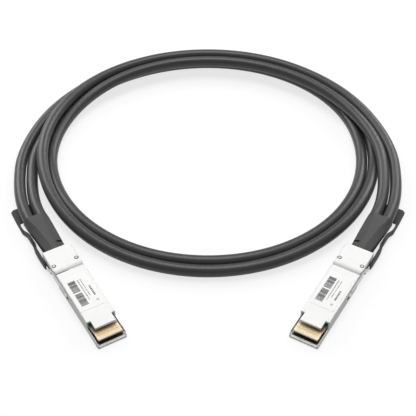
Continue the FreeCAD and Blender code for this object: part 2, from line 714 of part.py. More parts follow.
def strain_relief(side):
    body = new_body(f"{side}_strain_relief")
    loft = body.newObject("PartDesign::AdditiveLoft", "sleeve")
    loft.Profile = boot_section(body, "front", "plug_length", "half_width - boot_inset", "boot_front_top",
                                "boot_front_crown", "boot_front_drop", "boot_lean")
    rear = []
    for name, distance in (("middle", "plug_length + boot_middle"), ("back", "boot_tail")):
        half = f"half_width - boot_{name}_inset"
        rear.append(boot_section(body, f"{name}_section", distance, half, f"boot_{name}_top",
                                 f"{half} - boot_chamfer", "boot_chamfer", "0"))
    loft.Sections = rear
    loft.Ruled = False
    add_slab(body, "neck", "floor_thickness + seat_clearance", "neck_top", [
        rectangle("-plug_length - 1", "-plug_length + back_wall", "-neck_half + seat_clearance",
                  "neck_half - seat_clearance")])
    bores = body.newObject("PartDesign::Pocket", "cable_bores")
    bores.Profile = new_sketch(body, "bore_ends", "YZ_Plane", offset="-boot_tail", circles=[
        ("cable_pitch / 2", "cable_height", "cable_diameter / 2"),
        ("-cable_pitch / 2", "cable_height", "cable_diameter / 2")])
    bores.Reversed = True
    bind(bores, "Length", "bore_depth")
    slot = body.newObject("PartDesign::Pocket", "wire_slot")
    slot_half = "(cable_pitch / 2 + wire_spread / 2 + wire_diameter)"
    slot.Profile = new_sketch(body, "slot_end", "YZ_Plane", [
        rectangle(f"-{slot_half}", slot_half, "wire_height - wire_layers", "wire_height + slot_rise")],
        offset="-boot_tail + bore_depth - seat_clearance")
    slot.Reversed = True
    bind(slot, "Length", "boot_length + back_wall * 2")
    place(body, side)


def cable_ferrules(side):
    """Crimped ring on each cable's end, inside the boot."""
    rings = []
    for across in (-1, 1):
        at = Vector(-size("boot_tail - cable_seat"), across * size("cable_pitch / 2"), size("cable_height"))
        outside, inside = size("cable_diameter / 2"), size("cable_diameter / 2 - ferrule_wall")
        ring = Part.makeCylinder(outside, size("ferrule_length"), at, Vector(1, 0, 0))
        rings.append(ring.cut(Part.makeCylinder(inside, size("ferrule_length"), at, Vector(1, 0, 0))))
    place_shape(f"{side}_cable_ferrules", side, Part.makeCompound(rings))


def shell_screws(side):
    screws = []
    for across in (-1, 1):
        at = Vector(-size("boss_back"), across * size("boss_side"), size("seat_clearance"))
        head = Part.makeCylinder(size("screw_head_diameter / 2"), size("screw_head_height"), at)
        shank = Part.makeCylinder(size("screw_diameter / 2"), size("screw_length"), at)
        screws.append(head.fuse(shank))
    place_shape(f"{side}_shell_screws", side, Part.makeCompound(screws))


def label(side):
    plate = doc.addObject("Part::Box", f"{side}_label_plate")
    bind(plate, "Length", "label_back - label_front")
    bind(plate, "Width", "2 * label_half")
    bind(plate, "Height", "label_thickness")
    bind(plate, "Placement.Base.x", "-label_back")
    bind(plate, "Placement.Base.y", "-label_half - label_shift")
    bind(plate, "Placement.Base.z", "plug_height")
    moved = doc.addObject("Part::Compound", f"{side}_label_stuck")
    moved.Links = [plate]
    moved.Label = f"{side}_label"
    place(moved, side)


# ---- cables ---------------------------------------------------------------------------------------

def plug_point(side, back, across, height):
    """A point of a connector's own frame in the part's frame."""
    sign = SIDES[side]
    turn = FreeCAD.Rotation(Vector(0, 0, 1), -90 - sign * size("plug_turn"))
    nose = Vector(sign * size("plug_half_spacing"), size("plug_front"), 0)
    return nose + turn.multVec(Vector(-back, across, height))


def turn_point(azimuth, radius, height):
    angle = radians(azimuth)
    return Vector(radius * sin(angle), size("loop_centre") + radius * cos(angle), height)


def free_cable(label, across, route):
    """One cable from the left boot round its turns to the right boot."""
    stations = [size("boot_tail - cable_seat"), size("boot_tail + cable_lead")]
    height = size("cable_height")
    corners = [plug_point("left", back, across, height) for back in stations]
    corners += [turn_point(*corner) for corner in route]
    corners += [plug_point("right", back, -across, height) for back in reversed(stations)]
    radius = size("cable_diameter") / 2
    solid, length, radii = tube(corners, radius)
    share = solid.Volume / (pi * radius ** 2 * length)
    print(f"{label}: {length:.0f} mm, volume share {share:.4f}, radii", [round(r) for r in radii])
    cable = doc.addObject("Part::Feature", label)
    cable.Label = label
    cable.Shape = solid
    node_objects.append(cable)


# ---- the whole part -------------------------------------------------------------------------------

for side in SIDES:
    lower_shell(side)
    upper_shell(side)
    paddle_card(side)
    contact_rows(side, "upper_contacts", size("card_top"))
    contact_rows(side, "lower_contacts", size("card_top") - size("card_thickness") - size("pad_thickness"))
    card_chip(side)
    pair_wires(side)
    wire_comb(side)
    latch_slider(side)
    latch_springs(side)
    pull_tab(side)
    strain_relief(side)
    cable_ferrules(side)
    shell_screws(side)
    label(side)
free_cable("outer_cable", -size("cable_pitch") / 2, OUTER_ROUTE)
free_cable("inner_cable", size("cable_pitch") / 2, INNER_ROUTE)

doc.recompute()
for thing in doc.Objects:
    if "Invalid" in thing.State or "Error" in thing.State:
        raise RuntimeError(f"{thing.Name} failed: {thing.State}")
os.makedirs("parts", exist_ok=True)
for thing in node_objects:
    if thing.Shape.isNull() or not thing.Shape.isValid():
        raise RuntimeError(f"{thing.Label} has no valid shape")
    thing.Shape.exportStep(f"parts/{thing.Label}.step")
print(len(node_objects), "nodes written")
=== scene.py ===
import json
import math

import bmesh
import bpy
from mathutils import Matrix, Vector


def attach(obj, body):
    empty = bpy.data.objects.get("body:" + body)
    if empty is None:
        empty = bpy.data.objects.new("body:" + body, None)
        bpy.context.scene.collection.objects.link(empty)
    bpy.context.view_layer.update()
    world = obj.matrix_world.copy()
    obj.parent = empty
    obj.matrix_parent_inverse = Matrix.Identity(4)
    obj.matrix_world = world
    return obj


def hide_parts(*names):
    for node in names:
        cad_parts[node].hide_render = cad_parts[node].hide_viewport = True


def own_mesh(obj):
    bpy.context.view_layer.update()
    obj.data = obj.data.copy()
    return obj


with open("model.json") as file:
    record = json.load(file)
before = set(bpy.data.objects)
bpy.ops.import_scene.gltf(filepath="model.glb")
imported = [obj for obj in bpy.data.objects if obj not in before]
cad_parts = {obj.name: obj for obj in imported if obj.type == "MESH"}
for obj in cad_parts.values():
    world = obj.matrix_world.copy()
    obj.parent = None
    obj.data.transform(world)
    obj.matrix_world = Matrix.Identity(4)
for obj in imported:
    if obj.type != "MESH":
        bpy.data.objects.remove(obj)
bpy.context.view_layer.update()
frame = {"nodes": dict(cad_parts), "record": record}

collection = bpy.context.scene.collection
mm = 0.001
sides = ("left", "right")
print("frame loaded:", len(frame["nodes"]), "nodes")


# Where each connector is. In its own space x runs towards its nose, y across it and z up, in millimetres.
def plugMatrix(side):
    mounts = {mount["name"]: mount for mount in frame["record"]["mounts"]}
    nose = Vector(mounts[side + "_plug"]["pos_m"])
    ahead = Vector(mounts[side + "_plug"]["axis"]).normalized()
    across = Vector((0, 0, 1)).cross(ahead)
    turn = Matrix((ahead, across, Vector((0, 0, 1)))).transposed().to_4x4()
    return Matrix.Translation((nose.x, nose.y, 0)) @ turn @ Matrix.Scale(mm, 4)


plugPlaces = {side: plugMatrix(side) for side in sides}


# Node helpers

def newMaterial(name):
    material = bpy.data.materials.new(name)
    material.use_nodes = True
    nodes, links = material.node_tree.nodes, material.node_tree.links
    return material, nodes, links, nodes["Principled BSDF"]


def setInputs(node, **values):
    for name, value in values.items():
        node.inputs[name.replace("_", " ")].default_value = value


def addRamp(nodes, stops):
    ramp = nodes.new("ShaderNodeValToRGB")
    while len(ramp.color_ramp.elements) < len(stops):
        ramp.color_ramp.elements.new(0.5)
    for element, (position, color) in zip(ramp.color_ramp.elements, stops):
        element.position = position
        element.color = (*color, 1)
    return ramp


# Shared effect: fine grain for moulded and cast surfaces
def makeGrainGroup():
    group = bpy.data.node_groups.new("surfaceGrain", "ShaderNodeTree")
    face = group.interface
    for name in ("Grain Scale", "Grain Depth", "Base Roughness", "Roughness Spread"):
        face.new_socket(name=name, in_out="INPUT", socket_type="NodeSocketFloat")
    for name, kind in (("Cloud", "Float"), ("Roughness", "Float"), ("Normal", "Vector")):
        face.new_socket(name=name, in_out="OUTPUT", socket_type="NodeSocket" + kind)
    nodes, links = group.nodes, group.links
    put = nodes.new("NodeGroupInput")
    out = nodes.new("NodeGroupOutput")
    where = nodes.new("ShaderNodeTexCoord")
    fine = nodes.new("ShaderNodeTexNoise")
    fine.inputs["Detail"].default_value = 3
    cloud = nodes.new("ShaderNodeTexNoise")
    setInputs(cloud, Scale=60.0, Detail=4.0, Roughness=0.6)
    bump = nodes.new("ShaderNodeBump")
    spread = nodes.new("ShaderNodeMath")
    spread.operation = "MULTIPLY_ADD"
    links.new(where.outputs["Object"], fine.inputs["Vector"])
    links.new(where.outputs["Object"], cloud.inputs["Vector"])
    links.new(put.outputs["Grain Scale"], fine.inputs["Scale"])
    links.new(fine.outputs["Fac"], bump.inputs["Height"])
    links.new(put.outputs["Grain Depth"], bump.inputs["Distance"])
    links.new(cloud.outputs["Fac"], spread.inputs[0])
    links.new(put.outputs["Roughness Spread"], spread.inputs[1])
    links.new(put.outputs["Base Roughness"], spread.inputs[2])
    links.new(cloud.outputs["Fac"], out.inputs["Cloud"])
    links.new(spread.outputs[0], out.inputs["Roughness"])
    links.new(bump.outputs["Normal"], out.inputs["Normal"])
    return group


grainGroup = makeGrainGroup()


def grainedMaterial(name, dark, light, scale, depth, roughness, spread, metallic=0.0):
    material, nodes, links, shader = newMaterial(name)
    grain = nodes.new("ShaderNodeGroup")
    grain.node_tree = grainGroup
    setInputs(grain, Grain_Scale=scale, Grain_Depth=depth,
              Base_Roughness=roughness, Roughness_Spread=spread)
    tone = addRamp(nodes, [(0.3, dark), (0.7, light)])
    links.new(grain.outputs["Cloud"], tone.inputs["Fac"])
    links.new(tone.outputs["Color"], shader.inputs["Base Color"])
    links.new(grain.outputs["Roughness"], shader.inputs["Roughness"])
    links.new(grain.outputs["Normal"], shader.inputs["Normal"])
    setInputs(shader, Metallic=metallic)
    return material


castMetal = grainedMaterial("castMetal", (0.73, 0.73, 0.725), (0.77, 0.77, 0.765),
                            scale=3500, depth=0.000006, roughness=0.45, spread=0.08, metallic=0.12)
cableJacket = grainedMaterial("cableJacket", (0.036, 0.036, 0.037), (0.043, 0.043, 0.044),
                              scale=2200, depth=0.000012, roughness=0.34, spread=0.08)
bootPlastic = grainedMaterial("bootPlastic", (0.027, 0.027, 0.028), (0.034, 0.034, 0.035),
                              scale=3000, depth=0.00001, roughness=0.48, spread=0.1)
tabPlastic = grainedMaterial("tabPlastic", (0.009, 0.009, 0.0095), (0.013, 0.013, 0.0135),
                             scale=3000, depth=0.00001, roughness=0.55, spread=0.1)
springSteel = grainedMaterial("springSteel", (0.62, 0.61, 0.6), (0.68, 0.67, 0.66),
                              scale=4000, depth=0.000004, roughness=0.28, spread=0.1, metallic=0.9)
goldPlate = grainedMaterial("goldPlate", (0.86, 0.68, 0.4), (0.92, 0.75, 0.48),
                            scale=4000, depth=0.000002, roughness=0.4, spread=0.08, metallic=0.3)
boardGreen = grainedMaterial("boardGreen", (0.03, 0.2, 0.11), (0.04, 0.25, 0.14),
                             scale=1500, depth=0.000004, roughness=0.3, spread=0.1)


def multiply(nodes, links, first, second):
    product = nodes.new("ShaderNodeMath")
    product.operation = "MULTIPLY"
    links.new(first, product.inputs[0])
    links.new(second, product.inputs[1])
    return product.outputs[0]


# Zones of a material go by a piece's own place in its connector, in millimetres. Each zone is a color with
# its limits: an axis, where the color starts to show along it and where it is full.
def paintZones(material, zones):
    nodes, links = material.node_tree.nodes, material.node_tree.links
    base = nodes["Principled BSDF"].inputs["Base Color"]
    finish = base.links[0].from_socket
    place = nodes.new("ShaderNodeAttribute")
    place.attribute_name = "plugSpace"
    parts = nodes.new("ShaderNodeSeparateXYZ")
    across = nodes.new("ShaderNodeMath")
    across.operation = "ABSOLUTE"
    links.new(place.outputs["Vector"], parts.inputs[0])
    links.new(parts.outputs["Y"], across.inputs[0])
    axes = {"along": parts.outputs["X"], "across": across.outputs[0], "height": parts.outputs["Z"]}
    for color, limits in zones:
        share = None
        for axis, start, end in limits:
            ramp = nodes.new("ShaderNodeMapRange")
            setInputs(ramp, From_Min=start, From_Max=end)
            links.new(axes[axis], ramp.inputs["Value"])
            inside = ramp.outputs[0]
            share = inside if share is None else multiply(nodes, links, share, inside)
        mix = nodes.new("ShaderNodeMix")
        mix.data_type = "RGBA"
        links.new(share, mix.inputs[0])
        links.new(finish, mix.inputs[6])
        mix.inputs[7].default_value = (*color, 1)
        finish = mix.outputs[2]
    links.new(finish, base)


# The cast shells carry painted shade under the card, in the side windows and in the rear of the rivet
# grooves, and a painted grey shade on the step.
zoneColors = {"paintedShade": (0.05, 0.026, 0.008), "step": (0.52, 0.52, 0.515), "paintedTongueShade": (0.2, 0.11, 0.04),
              "laminate": (0.5, 0.38, 0.21), "rim": (0.75, 0.74, 0.68)}
windowSides = [("across", 9.12, 9.0), ("across", 8.0, 8.1), ("height", 0.3, 0.4), ("height", 6.9, 6.8)]
paintZones(castMetal, [
    # painted shade: the deep recess under the card, darkened in the colour
    (zoneColors["paintedShade"], [("along", -1.5, -1.6), ("along", -41.0, -40.0), ("across", 8.1, 8.05),
                          ("height", 1.3, 1.4), ("height", 5.0, 4.4)]),
    # painted shade: the two side windows, this zone and the next, darkened in the colour
    (zoneColors["paintedShade"], [("along", -62.5, -62.6), ("along", -74.0, -73.9)] + windowSides),
    (zoneColors["paintedShade"], [("along", -39.6, -39.7), ("along", -44.4, -44.3)] + windowSides),
    # painted shadow: the rear part of each rivet groove, where the groove wall shades it
    (zoneColors["paintedShade"], [("along", -65.7, -65.6), ("along", -62.6, -63.2), ("across", 5.9, 6.0),
                          ("across", 9.05, 9.0), ("height", 8.4, 8.5), ("height", 9.35, 9.3)]),
    # painted shade: grey on the sloping step, darker as it turns from the lamps
    (zoneColors["step"], [("along", -61.0, -58.0), ("along", -57.3, -57.5), ("height", 8.4, 8.5)])])

# The gold traces behind the pads are painted dark brown: painted shade under the tongue's edge.
paintZones(goldPlate, [(zoneColors["paintedTongueShade"], [("along", -8.2, -9.0)])])

# The board is green behind and bare laminate round the contacts, with a pale rim.
paintZones(boardGreen, [
    (zoneColors["laminate"], [("along", -12.6, -12.4), ("across", 7.75, 7.7)]),
    (zoneColors["rim"], [("along", -9.7, -9.5), ("across", 7.4, 7.45)]),
    (zoneColors["rim"], [("along", -2.95, -2.9)])])
boardEdge = grainedMaterial("boardEdge", (0.68, 0.68, 0.6), (0.78, 0.78, 0.7),
                            scale=2500, depth=0.000006, roughness=0.5, spread=0.1)
chipBlack = grainedMaterial("chipBlack", (0.02, 0.02, 0.02), (0.03, 0.03, 0.03),
                            scale=5000, depth=0.000004, roughness=0.5, spread=0.1)
wireFilm = grainedMaterial("wireFilm", (0.55, 0.56, 0.58), (0.65, 0.66, 0.68),
                           scale=1500, depth=0.000004, roughness=0.25, spread=0.1, metallic=0.3)
combPlastic = grainedMaterial("combPlastic", (0.6, 0.58, 0.52), (0.68, 0.66, 0.6),
                              scale=3000, depth=0.000006, roughness=0.5, spread=0.1)
labelFilm = grainedMaterial("labelFilm", (0.8, 0.8, 0.795), (0.83, 0.83, 0.825),
                            scale=1500, depth=0.000002, roughness=0.5, spread=0.06)
labelInk = grainedMaterial("labelInk", (0.02, 0.02, 0.02), (0.035, 0.035, 0.035),
                           scale=3000, depth=0.000002, roughness=0.45, spread=0.06)
print("materials made")


# Camera
cameraSet = {"place": (0, -0.4019, 0.43), "lookDown": 43.2, "lens": 82.81}
camera = bpy.data.objects.new("camera", bpy.data.cameras.new("camera"))
camera.data.lens = cameraSet["lens"]
camera.location = cameraSet["place"]
camera.rotation_euler = (math.radians(90 - cameraSet["lookDown"]), 0, 0)
collection.objects.link(camera)
bpy.context.scene.camera = camera


# Cables: each route has its two points at the left connector, its turns and its two points at the right one.
# A turn is an angle round the centre in degrees, with its radius and height in millimetres.
cableSet = {
    "diameter": 7.8 * mm,
    "between": 8.1,
    "height": 5.7,
    "inBoot": -106.5,
    "behindBoot": -120.5,
    "turnCentre": (0, 0.108, 0),
    "outerTurns": [
        (-106, 130.9, 5.3), (-90, 128.6, 4.6), (-67.5, 124.5, 4.0), (-45, 120.6, 4.0),
        (-22.5, 118.6, 4.0), (0, 118.1, 4.0), (22.5, 118.4, 4.0), (45, 118.6, 4.0),
        (67.5, 118.2, 4.0), (90, 116.2, 4.0), (112.5, 115.2, 6.4), (135, 115.5, 6.4),
        (157.5, 115.0, 4.8), (180, 114.5, 4.0), (202.5, 115.0, 4.8), (225, 115.5, 6.4),
        (247.5, 115.1, 9.2), (270, 115.5, 11.8), (292.5, 114.6, 12.2), (315, 112.8, 12.2),
        (337.5, 110.6, 12.2), (360, 109.5, 12.2), (382.5, 110.4, 12.2), (405, 112.8, 12.2),
        (427.5, 117.6, 12.4), (450, 126.0, 10.2), (466, 130.6, 6.8)],
    "innerTurns": [
        (-106, 122.5, 5.3), (-90, 120.4, 4.6), (-67.5, 116.3, 4.0), (-45, 112.4, 4.0),
        (-22.5, 110.4, 4.0), (0, 109.9, 4.0), (22.5, 110.2, 4.0), (45, 110.4, 4.0),
        (67.5, 110.0, 4.0), (90, 108.0, 4.0), (112.5, 107.4, 4.0), (135, 107.1, 4.0),
        (157.5, 106.6, 4.0), (180, 106.2, 4.0), (202.5, 106.6, 4.0), (225, 107.2, 4.0),
        (247.5, 108.3, 4.0), (270, 110.3, 4.0), (292.5, 108.4, 6.4), (315, 104.5, 10.6),
        (337.5, 102.3, 11.5), (360, 101.3, 11.4), (382.5, 102.1, 11.8), (405, 104.5, 12.2),
        (427.5, 109.3, 12.5), (450, 117.6, 12.8), (466, 122.2, 9.0)],
}


def cablePoints(across, turns):
    centre = Vector(cableSet["turnCentre"])
    points = [plugPlaces["left"] @ Vector((x, across, cableSet["height"]))
              for x in (cableSet["inBoot"], cableSet["behindBoot"])]
    for azimuth, radius, height in turns:
        angle = math.radians(azimuth)
        points.append(centre + Vector((radius * math.sin(angle), radius * math.cos(angle), height)) * mm)
    return points + [plugPlaces["right"] @ Vector((x, -across, cableSet["height"]))
                     for x in (cableSet["behindBoot"], cableSet["inBoot"])]


def makeCable(name, points):
    curve = bpy.data.curves.new(name, "CURVE")
    curve.dimensions = "3D"
    spline = curve.splines.new("NURBS")
    spline.points.add(len(points) - 1)
    for point, place in zip(spline.points, points):
        point.co = (*place, 1)
    spline.order_u = 3
    spline.use_endpoint_u = True
    spline.resolution_u = 10
    curve.bevel_depth = cableSet["diameter"] / 2
    curve.bevel_resolution = 8
    curve.use_fill_caps = True
    cable = bpy.data.objects.new(name, curve)
    collection.objects.link(cable)
    curve.materials.append(cableJacket)
    return cable


for name, across, turns, length in (("outer_cable", -cableSet["between"] / 2, cableSet["outerTurns"], 1.234),
                                    ("inner_cable", cableSet["between"] / 2, cableSet["innerTurns"], 1.152)):
    points = cablePoints(across, turns)
    cable = makeCable(name.replace("_c", "C"), points)
    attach(cable, "root")
    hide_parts(name)
print("cables laid")


# Mesh helpers


def readNode(side, node):
    shape = bmesh.new()
    shape.from_mesh(frame["nodes"][side + "_" + node].data)
    bmesh.ops.remove_doubles(shape, verts=shape.verts, dist=0.002 * mm)
    return shape


def addPiece(name, shape):
    data = bpy.data.meshes.new(name)
    shape.to_mesh(data)
    shape.free()
    piece = bpy.data.objects.new(name, data)
    collection.objects.link(piece)
    return piece


def bakeModifiers(piece):
    graph = bpy.context.evaluated_depsgraph_get()
    baked = bpy.data.meshes.new_from_object(piece.evaluated_get(graph), depsgraph=graph)
    piece.modifiers.clear()
    piece.data = baked
    return piece


# Adds a straight bar to a mesh: a section's corners in two directions, carried along the third axis.
def addBar(shape, corners, axis, low, high):
    ends = []
    for along in (low, high):
        ring = []
        for first, second in corners:
            spot = [first, second]
            spot.insert(axis, along)
            ring.append(shape.verts.new(spot))
        ends.append(ring)
    shape.faces.new(ends[0])
    shape.faces.new(ends[1])
    for i in range(len(corners)):
        j = (i + 1) % len(corners)
        shape.faces.new((ends[0][i], ends[0][j], ends[1][j], ends[1][i]))


def roundCorners(x, y, radius, count=20):
    turns = [2 * math.pi * i / count for i in range(count)]
    return [(x + radius * math.cos(turn), y + radius * math.sin(turn)) for turn in turns]


def cutAway(piece, side, cutter):
    bmesh.ops.recalc_face_normals(cutter, faces=cutter.faces)
    cutter.transform(plugPlaces[side])
    tool = addPiece(piece.name + "Cutter", cutter)
    modifier = piece.modifiers.new("cut", "BOOLEAN")
    modifier.object = tool
    modifier.solver = "EXACT"
    bakeModifiers(piece)
    bpy.data.objects.remove(tool)


# Rounds the edges sharper than an angle. weigh gives an edge's share of the width from its middle and its
# direction.
def roundEdges(piece, side, width, angle=30, segments=2, weigh=None):
    shape = bmesh.new()
    shape.from_mesh(piece.data)
    shares = shape.edges.layers.float.new("bevel_weight_edge")
    away = plugPlaces[side].inverted()
    for edge in shape.edges:
        if edge.is_manifold and edge.calc_face_angle() > math.radians(angle):
            ends = [away @ vertex.co for vertex in edge.verts]
            edge[shares] = weigh((ends[0] + ends[1]) / 2, (ends[1] - ends[0]).normalized()) if weigh else 1
    for face in shape.faces:
        face.smooth = True
    shape.to_mesh(piece.data)
    shape.free()
    modifier = piece.modifiers.new("round", "BEVEL")
    modifier.width = width * mm
    modifier.segments = segments
    modifier.limit_method = "WEIGHT"
    modifier.use_clamp_overlap = False
    evened = piece.modifiers.new("even", "WEIGHTED_NORMAL")
    evened.weight = 100
    spots = [away @ vertex.co for vertex in piece.data.vertices]
    low, high = [[pick(spot[axis] for spot in spots) for axis in range(3)] for pick in (min, max)]
    bakeModifiers(piece)
    for vertex in piece.data.vertices:          # a rounded corner stays inside the sharp one
        spot = away @ vertex.co
        vertex.co = plugPlaces[side] @ Vector([min(max(spot[i], low[i]), high[i]) for i in range(3)])


def storePlugSpace(piece, side):
    away = plugPlaces[side].inverted()
    spots = piece.data.attributes.new("plugSpace", "FLOAT_VECTOR", "POINT")
    for spot, vertex in zip(spots.data, piece.data.vertices):
        spot.vector = away @ vertex.co


def settle(piece, side, node, finish, stands=True):
    piece.data.materials.clear()
    piece.data.materials.append(finish)
    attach(piece, side + "_latch" if node in ("latch_slider", "pull_tab") else "root")
    if stands:
        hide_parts(side + "_" + node)


def pieceName(side, node):
    return side + node.title().replace("_", "")


# Shells, slider, boot and tab: copies of the solids with their edges rounded and their small marks cut in
shellSet = {
    "round": 0.13, "coverAngle": 25, "half": 9.175, "noseCorner": 0.9,
    "dimples": [(-72.7, 6.15), (-63.6, 6.15), (-64.6, 1.0)], "dimpleRadius": 0.55, "dimpleDepth": 0.9,
    "oval": (-42.0, 3.35), "ovalReach": 1.15, "ovalRadius": 1.0, "ovalDepth": 0.6, "ovalQuarter": 6,
    "noseWall": {"from": -14.5, "to": -1.5, "inner": 7.9, "outer": 8.85, "low": 1.5, "high": 6.0, "top": 4.0,
                 "past": 1},
}
bootSet = {
    "round": 0.55, "endShare": 0.5, "notch": (-84.3, -82.9),
    "notchSection": [(2.6, 10.0), (9.0, 10.0), (9.0, 4.8), (6.0, 5.4), (3.2, 7.0)], "notchShare": 0.25,
    "notchEase": 0.3, "low": 1.0, "foot": 1.2, "frontEnd": -78, "alongEdge": 0.9,
    "neck": (-78.5, -74.3, 6.6, 1.7, 6.8),
    # distance from the nose, half widths at the foot, at mid height, at the shoulder and of the crown, and
    # heights of the shoulder and the crown
    "stations": [(-77.8, 6.5, 6.9, 6.25, 1.6, 7.2, 8.9), (-84.0, 6.5, 7.1, 6.6, 1.7, 7.3, 9.05),
                 (-92.0, 6.6, 7.5, 7.2, 2.3, 7.4, 9.3), (-100.0, 6.7, 8.0, 7.5, 3.3, 7.9, 9.7),
                 (-106.0, 6.7, 8.25, 7.65, 4.6, 8.3, 10.0), (-110.9, 6.7, 8.3, 7.6, 5.2, 8.4, 10.1)],
    "midHeight": 5.0, "between": 3, "angle": 12,
}


# Boot: sections from the connector's back to the cables, joined with even spacing
def makeBoot(side):
    shape = bmesh.new()
    rings = []
    stations = bootSet["stations"]
    steps = bootSet["between"]
    for i in range((len(stations) - 1) * steps + 1):
        k = min(i // steps, len(stations) - 2)
        part = (i - k * steps) / steps
        x, foot, half, shoulder, crown, shoulderHeight, top = [
            a + (b - a) * part for a, b in zip(stations[k], stations[k + 1])]
        low = bootSet["low"]
        halfRing = [(foot - bootSet["foot"], low), (foot, low + bootSet["foot"]),
                    (half, bootSet["midHeight"]), (shoulder, shoulderHeight), (crown, top)]
        ring = halfRing + [(-y, z) for y, z in reversed(halfRing)]
        rings.append([shape.verts.new((x, y, z)) for y, z in ring])
    for near, far in zip(rings, rings[1:]):
        for j in range(len(near)):
            m = (j + 1) % len(near)
            shape.faces.new((near[j], near[m], far[m], far[j]))
    shape.faces.new(rings[0])
    shape.faces.new(rings[-1])
    bmesh.ops.recalc_face_normals(shape, faces=shape.faces)
    shape.transform(plugPlaces[side])
    return addPiece(pieceName(side, "strain_relief"), shape)


def bootShare(middle, way):
    back, front = bootSet["notch"]
    if back - bootSet["notchEase"] < middle.x < front + bootSet["notchEase"]:
        return bootSet["notchShare"]
    alongBoot = abs(way.x) > bootSet["alongEdge"] and middle.x < bootSet["frontEnd"]
    return 1 if alongBoot else bootSet["endShare"]


def addNeck(piece, side):
    back, front, half, low, high = bootSet["neck"]
    neck = bmesh.new()
    addBar(neck, [(-half, low), (half, low), (half, high), (-half, high)], 0, back, front)
    bmesh.ops.recalc_face_normals(neck, faces=neck.faces)
    neck.transform(plugPlaces[side])
    neck.from_mesh(piece.data)
    neck.to_mesh(piece.data)
    neck.free()


# The raised back of the cover rolls down to its flat front: steeper and steeper, then a crease.
slopeSet = {"from": -60.6, "to": -57.4, "low": 8.5, "high": 9.4, "cuts": 10, "power": 2.2, "ease": 0.001,
            "under": 0.01}


def makeCover(side):
    shape = readNode(side, "upper_shell")
    shape.transform(plugPlaces[side].inverted())
    reach = slopeSet["to"] - slopeSet["from"]
    for cut in range(slopeSet["cuts"] + 1):
        place = slopeSet["from"] + reach * cut / slopeSet["cuts"]
        everything = shape.verts[:] + shape.edges[:] + shape.faces[:]
        bmesh.ops.bisect_plane(shape, geom=everything, dist=1e-4, plane_co=(place, 0, 0), plane_no=(1, 0, 0))
    for vertex in shape.verts:
        part = (vertex.co.x - slopeSet["from"]) / reach
        onStep = -slopeSet["ease"] < part < 1 + slopeSet["ease"]
        if onStep and vertex.co.z > slopeSet["low"] - slopeSet["under"]:
            drop = slopeSet["high"] - slopeSet["low"]
            vertex.co.z = slopeSet["high"] - drop * min(max(part, 0), 1) ** slopeSet["power"]
    shape.transform(plugPlaces[side])
    return shape


# Rounding leaves the nose's upright corners on their own arcs.
def keepNoseCorners(piece, side):
    radius, half = shellSet["noseCorner"], shellSet["half"]
    away = plugPlaces[side].inverted()
    for vertex in piece.data.vertices:
        spot = away @ vertex.co
        reach = Vector((spot.x + radius, abs(spot.y) - half + radius))
        if min(reach) > 0 and reach.length > radius:
            reach *= radius / reach.length
            across = math.copysign(half - radius + reach.y, spot.y)
            vertex.co = plugPlaces[side] @ Vector((reach.x - radius, across, spot.z))


rivetSet = {"at": (-63.9, 7.425), "reach": 2.0}


# Edges at the rivet grooves stay sharp.
def coverShare(middle, way):
    x, y = rivetSet["at"]
    return 0 if math.hypot(middle.x - x, abs(middle.y) - y) < rivetSet["reach"] else 1


# Dimples and an oval pocket in both sides, and the room inside the thin walls of the mouth
def makeShellCutter():
    cutter = bmesh.new()
    half, wall, quarter = shellSet["half"], shellSet["noseWall"], shellSet["ovalQuarter"]
    for x, z in shellSet["dimples"]:
        for face in (-half, half):
            addBar(cutter, roundCorners(x, z, shellSet["dimpleRadius"]), 1,
                   face - shellSet["dimpleDepth"], face + shellSet["dimpleDepth"])
    x, z = shellSet["oval"]
    front, back = [roundCorners(x + reach, z, shellSet["ovalRadius"], 4 * quarter)
                   for reach in (shellSet["ovalReach"], -shellSet["ovalReach"])]
    oval = front[3 * quarter:] + front[:quarter + 1] + back[quarter:3 * quarter + 1]
    for face in (-half, half):
        addBar(cutter, oval, 1, face - shellSet["ovalDepth"], face + shellSet["ovalDepth"])
    past = wall["outer"] + wall["past"]
    for across in (-1, 1):
        corners = [(across * y, z) for y, z in (
            (wall["inner"], wall["low"]), (wall["outer"], wall["low"]), (wall["outer"], wall["top"]),
            (past, wall["top"]), (past, wall["high"]), (wall["inner"], wall["high"]))]
        addBar(cutter, corners, 0, wall["from"], wall["to"])
    return cutter


# The grip draws in towards its end.
tabSet = {"round": 0.28, "groove": (9.5, 10.45), "gripFrom": -123.5, "gripEnd": -131.0, "gripTaper": 0.11}


def makeTab(side):
    shape = readNode(side, "pull_tab")
    shape.transform(plugPlaces[side].inverted())
    for vertex in shape.verts:
        part = (vertex.co.x - tabSet["gripFrom"]) / (tabSet["gripEnd"] - tabSet["gripFrom"])
        vertex.co.y *= 1 - tabSet["gripTaper"] * max(part, 0) ** 2
    shape.transform(plugPlaces[side])
    return shape


def tabShare(middle, way):
    low, high = tabSet["groove"]
    return 0 if low < abs(middle.y) < high else 1


